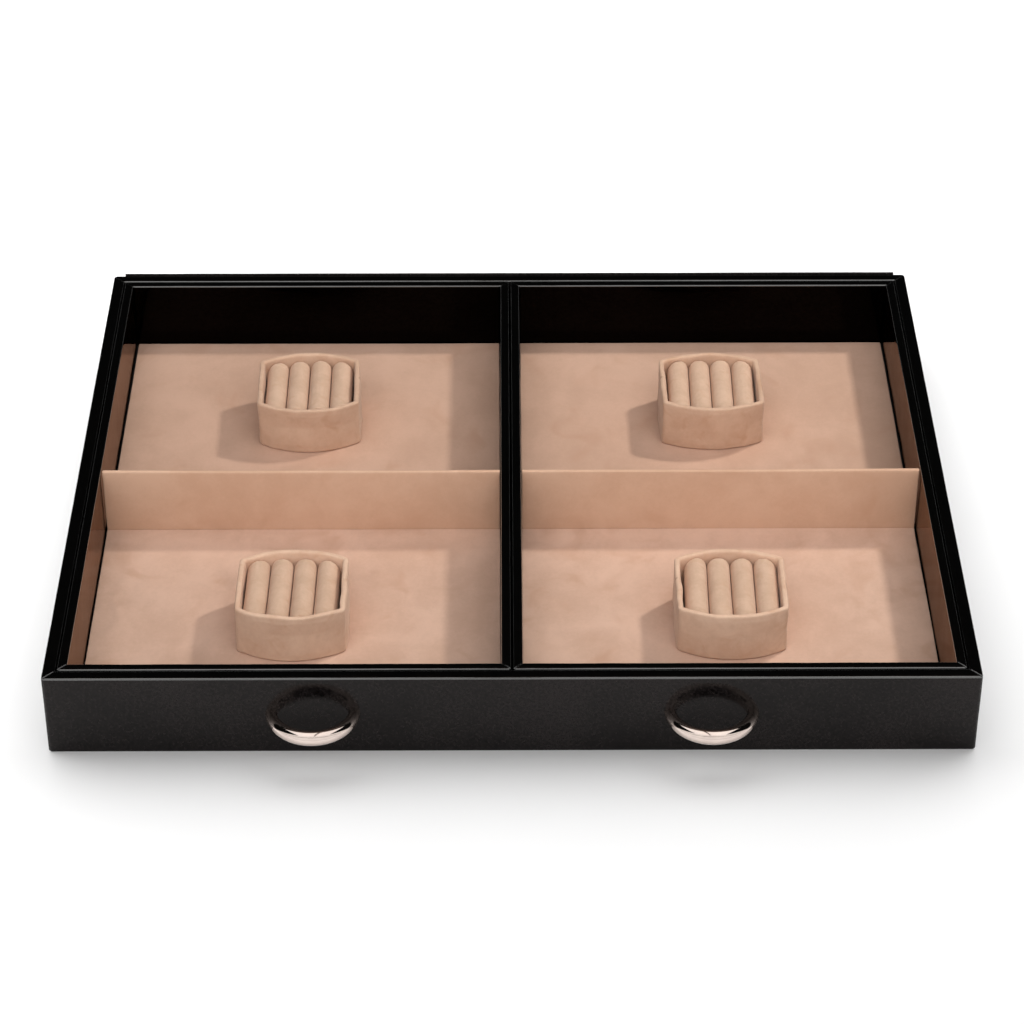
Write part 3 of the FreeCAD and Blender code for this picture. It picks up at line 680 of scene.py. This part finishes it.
def holder_outline(bulge):
    """Points and outward normals round a holder, from the middle of its right side."""
    half, side, corner = HOLDER["width"] / 2, HOLDER["side"] / 2, HOLDER["corner"]
    big = (half ** 2 + bulge ** 2) / (2 * bulge)
    centre_y = side + bulge - big
    corner_y = centre_y + math.sqrt((big - corner) ** 2 - (half - corner) ** 2)
    swing = math.atan2(corner_y - centre_y, half - corner)
    quarter = []
    for share in np.linspace(0.0, 1.0, 15)[:-1]:
        quarter.append(((half, corner_y * share), (1.0, 0.0)))
    for angle in np.linspace(0.0, swing, 9)[:-1]:
        turn = (math.cos(angle), math.sin(angle))
        quarter.append(((half - corner + corner * turn[0], corner_y + corner * turn[1]), turn))
    for angle in np.linspace(swing, math.pi / 2, 21):
        turn = (math.cos(angle), math.sin(angle))
        quarter.append(((big * turn[0], centre_y + big * turn[1]), turn))
    mirrored = [((-p[0], p[1]), (-n[0], n[1])) for p, n in reversed(quarter[:-1])]
    upper = quarter + mirrored
    lower = [((-p[0], -p[1]), (-n[0], -n[1])) for p, n in upper[1:-1]]
    return upper + lower


def holder_place(name):
    """A holder's middle, with the height it stands on, and its turn."""
    low, high = box_mm(name + "_holder_card")
    spot = HOLDERS[name]
    return (low[0] + high[0]) / 2, (low[1] + high[1]) / 2, low[2], math.radians(spot["turn"])


def holder_world(place, x, y, z):
    centre_x, centre_y, floor, turn = place
    return (centre_x + x * math.cos(turn) - y * math.sin(turn),
            centre_y + x * math.sin(turn) + y * math.cos(turn), floor + z)


def wall_section():
    """Cut of a holder's padded wall: depth from its outer face and height, as a closed loop."""
    wall, height = HOLDER["wall"], HOLDER["height"]
    top, foot = wall / 2 * 0.7, 0.5
    points = arc(foot, foot, foot, 270, 180, 3)
    points += line((0.0, foot), (0.0, height - top), 20)
    points += arc(top, height - top, top, 180, 90, 5)
    points += arc(wall - top, height - top, top, 90, 0, 5)
    points += line((wall, height - top), (wall, foot), 20)
    points += arc(wall - foot, foot, foot, 0, -90, 3)
    return np.array(points)


def bow_shift(spot, x, share):
    """How much further out than the CAD the bowed wall stands at x, by its share of the height."""
    middle = max(0.0, 1.0 - (x / (HOLDER["width"] / 2)) ** 2)
    flare = spot["rim_out"] * share + spot["foot_out"] * (1.0 - share) ** 1.3
    return flare * middle


def build_holder_frame(name):
    """The padded strip that makes a holder's wall, bowed front and back, with its lapped end."""
    spot = HOLDERS[name]
    place = holder_place(name)
    hand = name.split("_")[0]
    inward = 1.0 if hand == "left" else -1.0
    half_side = HOLDER["side"] / 2
    section = wall_section()
    loops = []
    for (x, y), (nx, ny) in holder_outline(HOLDER["bulge"]):
        loop = []
        for depth, z in section:
            share = z / HOLDER["height"]
            outer = depth < HOLDER["wall"] / 2
            slack = HOLDER["slack"] * ripple((x, y, z * 0.4), 10.0, spot["seed"])
            pucker = HOLDER["pucker"] * ripple((x, y, z), 6.0, spot["seed"] + 3.0)
            slack += pucker * (1.0 if outer else 1.6)
            rim_wave = HOLDER["rim_wave"] * ripple((x, y, 40.0), 11.0, spot["seed"]) * share ** 3
            lap = lap_height(y, share) if x * inward > 0 and outer else 0.0
            lean = HOLDER["lean"] * (share - 0.5) if abs(y) < half_side else 0.0
            px = x + nx * (slack + lap - depth) + math.copysign(lean, x) * abs(nx)
            py = y + ny * (slack - depth) + math.copysign(bow_shift(spot, x, share), y) * abs(ny)
            drop = HOLDER["rim_drop"] * share ** 3
            loop.append(holder_world(place, px, py, z + rim_wave - drop))
        loops.append(loop)
    # the front holders take the paler suede, whose extra brightness is painted light
    suede = FRONT_HOLDER_SUEDE_PAINTED_LIGHT if name.endswith("front") else HOLDER_SUEDE
    piece = loft(name + "_padded_frame", loops, suede, wrap=True, crease=60.0)
    stuff(piece, voxel=0.55, cap=0.13)
    carve_lap(piece, place, inward)
    settle(piece, hand + "_insert", "suede_holder", name + "_holder_frame")


def lap_height(y, share):
    """How far the strip's lapped end stands out beside a place along the holder's side."""
    if y > LAP["start"]:
        return 0.0
    fade = 1.0 - min(1.0, max(0.0, (LAP["start"] - y - 6.0) / 14.0))
    return LAP["thick"] * fade * min(1.0, (1.0 - share) * 10.0)


def carve_lap(piece, place, inward):
    """Presses in the thin dark line where the strip's end lies on its start."""
    centre_x, centre_y, _, turn = place
    line_x = HOLDER["width"] / 2 * inward
    for vertex in piece.data.vertices:
        x, y = vertex.co.x / MM - centre_x, vertex.co.y / MM - centre_y
        along = -x * math.sin(turn) + y * math.cos(turn)
        across = x * math.cos(turn) + y * math.sin(turn)
        if abs(across - line_x) > HOLDER["wall"] * 0.8:
            continue
        press = LAP["depth"] * math.exp(-((along - LAP["line"]) / LAP["reach"]) ** 2)
        if across * inward < abs(line_x) - HOLDER["wall"] / 2:
            press = 0.0
        vertex.co.x -= press * inward * MM


def stuff(piece, voxel, cap):
    """Swells a piece as stuffed cloth: a simulation at an enlarged scale, its moves capped."""
    scene = bpy.context.scene
    scale = STUFFING["scale"]
    big = bpy.data.objects.new(piece.name + "_stuffing", piece.data.copy())
    big.data.transform(Matrix.Diagonal((scale, scale, scale, 1.0)))
    scene.collection.objects.link(big)
    remesh = big.modifiers.new("remesh", "REMESH")
    remesh.mode = "VOXEL"
    remesh.voxel_size = voxel * MM * scale
    take_result(big)
    before = [v.co.copy() for v in big.data.vertices]
    cloth = big.modifiers.new("cloth", "CLOTH")
    cloth.settings.quality = 4
    cloth.settings.mass = 0.3
    cloth.settings.use_pressure = True
    cloth.settings.uniform_pressure_force = STUFFING["pressure"]
    cloth.settings.effector_weights.gravity = 0.0
    cloth.point_cache.frame_start = 1
    cloth.point_cache.frame_end = STUFFING["frames"]
    for frame_number in range(1, STUFFING["frames"] + 1):
        scene.frame_set(frame_number)
    take_result(big)
    scene.frame_set(1)
    furthest = cap * MM * scale
    for vertex, start in zip(big.data.vertices, before):
        move = vertex.co - start
        if move.length > furthest:
            vertex.co = start + move.normalized() * furthest
    smooth = big.modifiers.new("smooth", "SUBSURF")
    smooth.levels = smooth.render_levels = 1
    take_result(big)
    big.data.transform(Matrix.Diagonal((1 / scale, 1 / scale, 1 / scale, 1.0)))
    material = piece.data.materials[0]
    piece.data = big.data
    piece.data.materials.clear()
    piece.data.materials.append(material)
    piece.data.shade_smooth()
    bpy.data.objects.remove(big)


def take_result(thing):
    """Turns what an object's modifiers make of it into its mesh, and drops them."""
    graph = bpy.context.evaluated_depsgraph_get()
    made = bpy.data.meshes.new_from_object(thing.evaluated_get(graph))
    thing.modifiers.clear()
    thing.data = made


def roll_section(half, height, inset):
    """An arch: flat below, upright at its sides and half round on top."""
    soft = 0.8
    half -= inset
    top = height - inset
    centre = top - half
    points = arc(half - soft, inset + soft, soft, -90, 0, 3)
    points += line((half, inset + soft), (half, centre), 6)
    points += arc(0.0, centre, half, 0, 180, 16)
    points += line((-half, centre), (-half, inset + soft), 6)
    points += arc(-half + soft, inset + soft, soft, 180, 270, 3)
    points += line((-half + soft, inset), (half - soft, inset), 4)
    return points


def inner_reach(x, inset):
    """How far the inside of a holder's front or back wall lies from its middle, at x."""
    half, bulge = HOLDER["width"] / 2, HOLDER["bulge"]
    big = (half ** 2 + bulge ** 2) / (2 * bulge)
    centre_y = HOLDER["side"] / 2 + bulge - big
    return centre_y + math.sqrt((big - inset) ** 2 - x ** 2)


def build_rolls(name):
    """The four suede rolls that grip the cufflinks, like fingers side by side."""
    place = holder_place(name)
    hand = name.split("_")[0]
    rolls = []
    for number in range(ROLLS["count"]):
        loops = roll_loops(name, place, number)
        roll = loft("%s_roll_%d" % (name, number + 1), loops, ROLL_SUEDE, crease=60.0)
        stuff(roll, voxel=0.75, cap=0.12)
        rolls.append(roll)
    piece = join(rolls, name + "_soft_rolls")
    settle(piece, hand + "_insert", "suede_rolls", name + "_holder_rolls")


def roll_loops(name, place, number):
    """Sections of one roll; its ends follow the bowed wall, and its top isn't quite straight."""
    spot = HOLDERS[name]
    half = ROLLS["width"] / 2
    floor = HOLDER["card"]
    height = HOLDER["height"] - ROLLS["drop"] - floor
    middle = ROLLS["pitch"] * (number - (ROLLS["count"] - 1) / 2) + spot["rolls_shift"]
    slant = math.tan(math.radians(spot["rolls_turn"]))
    limit = HOLDER["width"] / 2 - HOLDER["wall"] - ROLLS["side_gap"]
    half_length = ROLLS["half_length"]
    seed = spot["seed"] + number * 2.7
    lift = ROLLS["lift"] * ripple((number * 9.0, 1.0, 2.0), 3.0, seed)
    swing = ROLLS["swing"] * ripple((number * 5.0, 8.0, 2.0), 2.0, seed)
    outer = number in (0, ROLLS["count"] - 1)
    loops = []
    for y, inset in eased_stations(-1.0, 1.0, ROLLS["soft"] / half_length, 0.09):
        loop = []
        for dx, z in roll_section(half, height, inset * half_length):
            share = z / height
            puff = ROLLS["puff"] * ripple((dx, y * half_length, z), 8.0, seed)
            x = middle + dx * (1.0 + 0.02 * puff) + swing * y * share - y * half_length * slant
            x = max(-limit, min(limit, x))
            reach = inner_reach(x, HOLDER["wall"]) - ROLLS["end_gap"]
            reach += bow_shift(spot, x, (z + floor) / HOLDER["height"])
            if y > 0:
                reach = min(reach, ROLLS["back_reach"])
            rise = lift + puff + (ROLLS["outer_rise"] * max(0.0, y) if outer else 0.0)
            loop.append(holder_world(place, x, y * reach, floor + z + rise * share))
        loops.append(loop)
    return loops


def join(pieces, name):
    """One object from several, which share a material."""
    whole = bmesh.new()
    for piece in pieces:
        whole.from_mesh(piece.data)
    mesh = bpy.data.meshes.new(name)
    whole.to_mesh(mesh)
    whole.free()
    mesh.materials.append(pieces[0].data.materials[0])
    mesh.shade_smooth()
    joined = bpy.data.objects.new(name, mesh)
    bpy.context.scene.collection.objects.link(joined)
    for piece in pieces:
        bpy.data.objects.remove(piece)
    return joined


# ------------------------------------------------------------ handles

def handle_section(growth):
    """The bow's cut, from its middle line: round outside, flat inside, with softened edges."""
    half_thick = HANDLE["thick"] / 2
    radius = half_thick + (HANDLE["foot"] + HANDLE["swell"] * growth) / 2
    middle = half_thick - radius
    edge = min(HANDLE["edge"], half_thick * 0.5)
    # the softening circle touches the round outside from within and the flat inside
    edge_x = edge - half_thick
    edge_y = math.sqrt(max((radius - edge) ** 2 - (edge_x - middle) ** 2, 0.0))
    swing = math.degrees(math.atan2(edge_y, edge_x - middle))
    points = arc(middle, 0.0, radius, -swing, swing, 40)
    points += arc(edge_x, edge_y, edge, swing, 180.0, 6)[1:]
    points += line((edge_x - edge, edge_y), (edge_x - edge, -edge_y), 6)
    points += arc(edge_x, -edge_y, edge, 180.0, 360.0 - swing, 6)[:-1]
    return points


def build_handle(hand):
    """A half ring of nickel, round at its feet and flat inside and taller at its middle."""
    front = box_mm("front_leather")[0][1]
    middle_x = HANDLE["apart"] * (-1.0 if hand == "left" else 1.0)
    centre_y = front + HANDLE["sink"]
    start = math.asin((HANDLE["sink"] - HANDLE["bury"]) / HANDLE["ring"])
    loops = []
    for angle in np.linspace(start, math.pi - start, 89):
        loop = []
        for radial, tall in handle_section(math.sin(angle) ** 1.5):
            reach = HANDLE["ring"] + radial
            loop.append((middle_x + reach * math.cos(angle), centre_y - reach * math.sin(angle),
                         HANDLE["level"] + tall))
        loops.append(loop)
    piece = loft(hand + "_bow_handle", loops, NICKEL, crease=80.0)
    settle(piece, "drawer", "nickel", hand + "_handle")


# ------------------------------------------------------------ carried-over CAD nodes

def finish_node(name, material):
    """Leaves a CAD node as it is, with a material of its own."""
    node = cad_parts[name]
    node.data.materials.clear()
    node.data.materials.append(material)


def finish_nodes():
    """Boards, felt, bottom cover, screws and cards keep their CAD shape."""
    finish_node("base_board", BOARD)
    finish_node("bottom_cover", BOTTOM_CLOTH)
    finish_node("floor_felt", FELT)
    finish_node("handle_screws", STEEL)
    for side in SIDES:
        finish_node(side + "_board", BOARD)
    for hand in HANDS:
        finish_node(hand + "_tray_base", LINED_BOARD)
        for side in SIDES:
            finish_node("%s_tray_%s_board" % (hand, side), BOARD)
    for name in HOLDERS:
        finish_node(name + "_holder_card", CARD_SUEDE)


# ------------------------------------------------------------ floor, lights and camera

# places and sizes in metres; a level is the brightness of the light itself, and 1 is white
FLOOR_HALF = 30.0
FLOOR_DROP = 0.0001
FLOOR_LIFT = 0.13
KEY_PLACE = (0.66, 0.42, 0.92)
KEY_SIZE = (0.09, 0.09)
KEY_LEVEL = 235.0
KEY_COLOUR = (1.0, 0.975, 0.92)
FILL_PLACE = (0.0, -1.35, 1.45)
FILL_SIZE = (2.2, 0.9)
FILL_LEVEL = 1.75
WASH_PLACE = (-0.160, 0.355, 0.535)
WASH_TARGET = (0.0, -0.286, 0.0)
WASH_SIZE = (2.873, 1.412)
WASH_LEVEL = 2.48
SOFTBOX_SIZE = (0.74, 1.21)
SOFTBOX_PLACE = (0.40, -0.295, 1.30)
SOFTBOX_LEVEL = 1.2
WORLD = {"front": (1.0, 1.0, 1.0), "front_top": 60.0, "dark_line": 39.0,
         "line_colour": (0.12, 0.10, 0.09), "dark": (0.004, 0.004, 0.004),
         "behind": (0.095, 0.070, 0.056), "low_band": (0.5, 0.5, 0.5)}
CAMERA_PLACE = (-0.00402, -1.07739, 0.79795)
CAMERA_DOWN = 36.22
CAMERA_TURN = -0.24
CAMERA_LENS = 110.80


def build_floor():
    """A large white floor whose own colour reads as white, and which keeps the shadow."""
    half = FLOOR_HALF
    mesh = bpy.data.meshes.new("floor")
    mesh.from_pydata([(-half, -half, 0), (half, -half, 0), (half, half, 0), (-half, half, 0)],
                     [], [(0, 1, 2, 3)])
    floor = bpy.data.objects.new("floor", mesh)
    floor.location.z = -FLOOR_DROP
    bpy.context.scene.collection.objects.link(floor)
    m = Material("white_floor")
    grain = m.noise(60.0, detail=2.0)
    m.colour(m.mix(grain, (0.79, 0.79, 0.79), (0.81, 0.81, 0.81)))
    m.set(Roughness=0.9, Specular_IOR_Level=0.0)
    rays = m.add("ShaderNodeLightPath")
    seen = m.add("ShaderNodeMath", operation="MAXIMUM")
    m.join(rays.outputs["Is Camera Ray"], seen.inputs[0])
    m.join(rays.outputs["Is Glossy Ray"], seen.inputs[1])
    clear = m.add("ShaderNodeMath", operation="MAXIMUM")
    m.join(seen.outputs[0], clear.inputs[0])
    m.join(rays.outputs["Is Transmission Ray"], clear.inputs[1])
    lift = m.add("ShaderNodeMath", operation="MULTIPLY")
    m.join(clear.outputs[0], lift.inputs[0])
    lift.inputs[1].default_value = FLOOR_LIFT
    m.set(Emission_Color=(1.0, 1.0, 1.0, 1.0))
    m.join(lift.outputs[0], m.shader.inputs["Emission Strength"])
    mesh.materials.append(m.material)
    return floor


def only_for(light, piece, included):
    """Lets a light fall on one piece alone, or on everything but that piece."""
    group = bpy.data.collections.new(light.name + "_receivers")
    group.objects.link(piece)
    light.light_linking.receiver_collection = group
    state = "INCLUDE" if included else "EXCLUDE"
    group.collection_objects[0].light_linking.link_state = state


def build_softbox(name, place, target, size, level):
    """A rectangle of light of a plain brightness, facing a target."""
    data = bpy.data.lights.new(name, "AREA")
    data.shape = "RECTANGLE"
    data.size, data.size_y = size
    data.energy = level * math.pi * size[0] * size[1]
    box = bpy.data.objects.new(name, data)
    box.location = place
    facing = (Vector(place) - Vector(target)).normalized()
    across = Vector((0.0, 1.0, 0.0)).cross(facing).normalized()
    turn = Matrix((across, facing.cross(across), facing)).transposed()
    box.rotation_euler = turn.to_euler()
    bpy.context.scene.collection.objects.link(box)
    return box


def build_lights(floor):
    """Key from the back right, fill from the front, two softboxes overhead, one for the table."""
    key = build_softbox("key", KEY_PLACE, (0.0, 0.0, 0.0), KEY_SIZE, KEY_LEVEL)
    key.data.color = KEY_COLOUR
    only_for(key, floor, included=False)
    fill = build_softbox("fill", FILL_PLACE, (0.0, 0.0, 0.02), FILL_SIZE, FILL_LEVEL)
    only_for(fill, floor, included=False)
    key.visible_glossy = fill.visible_glossy = False
    wash = build_softbox("wash", WASH_PLACE, WASH_TARGET, WASH_SIZE, WASH_LEVEL)
    only_for(wash, floor, included=True)
    for sign, side in ((-1.0, "left"), (1.0, "right")):
        x, y, z = SOFTBOX_PLACE
        box = build_softbox("softbox_" + side, (sign * x, y, z), (sign * x, y, 0.0),
                            SOFTBOX_SIZE, SOFTBOX_LEVEL)
        only_for(box, floor, included=False)


def build_world():
    """A studio: a pale wall in front, darker above and behind, with a low pale band behind."""
    world = bpy.data.worlds.new("studio")
    world.use_nodes = True
    bpy.context.scene.world = world
    nodes, links = world.node_tree.nodes, world.node_tree.links
    coords = nodes.new("ShaderNodeTexCoord")
    parts = nodes.new("ShaderNodeSeparateXYZ")
    links.new(coords.outputs["Generated"], parts.inputs[0])

    def ramp(value, low, high, to_low=0.0, to_high=1.0):
        """A soft step between two values of a socket."""
        step = nodes.new("ShaderNodeMapRange")
        step.interpolation_type = "SMOOTHSTEP"
        for socket, number in (("From Min", low), ("From Max", high),
                               ("To Min", to_low), ("To Max", to_high)):
            step.inputs[socket].default_value = number
        links.new(value, step.inputs["Value"])
        return step.outputs["Result"]

    def tilt(angle, soft):
        """1 where a direction lies lower than a plane that rises by an angle to the front."""
        across = nodes.new("ShaderNodeVectorMath")
        across.operation = "DOT_PRODUCT"
        across.inputs[1].default_value = (0.0, -math.sin(math.radians(angle)),
                                          -math.cos(math.radians(angle)))
        links.new(coords.outputs["Generated"], across.inputs[0])
        return ramp(across.outputs["Value"], -soft, soft)

    def compute(operation, *values):
        node = nodes.new("ShaderNodeMath")
        node.operation = operation
        for socket, value in zip(node.inputs, values):
            links.new(value, socket)
        return node.outputs[0]

    def blend(factor, first, second):
        """Mixes a colour or socket with a colour, by a factor."""
        node = nodes.new("ShaderNodeMix")
        node.data_type = "RGBA"
        links.new(factor, node.inputs[0])
        if isinstance(first, tuple):
            node.inputs[6].default_value = (*first, 1.0)
        else:
            links.new(first, node.inputs[6])
        node.inputs[7].default_value = (*second, 1.0)
        return node.outputs[2]

    high = ramp(parts.outputs["Z"], 0.72, 0.82)
    central = ramp(compute("ABSOLUTE", parts.outputs["X"]), 0.15, 0.35, 1.0, 0.0)
    above = blend(compute("MULTIPLY", high, central), WORLD["dark"], WORLD["behind"])
    behind = blend(ramp(parts.outputs["Z"], 0.04, 0.20, 1.0, 0.0), above, WORLD["low_band"])
    whole = blend(tilt(WORLD["front_top"], 0.03), behind, WORLD["front"])
    over, under = (tilt(WORLD["dark_line"] + a, 0.01) for a in (2.0, -2.0))
    studio = blend(compute("SUBTRACT", over, under), whole, WORLD["line_colour"])
    links.new(studio, nodes["Background"].inputs["Color"])


def build_camera():
    data = bpy.data.cameras.new("camera")
    data.lens = CAMERA_LENS
    data.sensor_width = 36.0
    camera = bpy.data.objects.new("camera", data)
    camera.location = CAMERA_PLACE
    camera.rotation_euler = (math.radians(90.0 - CAMERA_DOWN), 0.0, math.radians(CAMERA_TURN))
    bpy.context.scene.collection.objects.link(camera)
    bpy.context.scene.camera = camera
    bpy.context.scene.view_settings.view_transform = "Standard"


build_camera()
build_lights(build_floor())
build_world()

build_walls()
build_facing()
for hand in HANDS:
    build_handle(hand)
    build_divider(hand)
    for row in ("front", "back"):
        build_card(hand, row)
for name in HOLDERS:
    build_holder_frame(name)
    build_rolls(name)
finish_nodes()
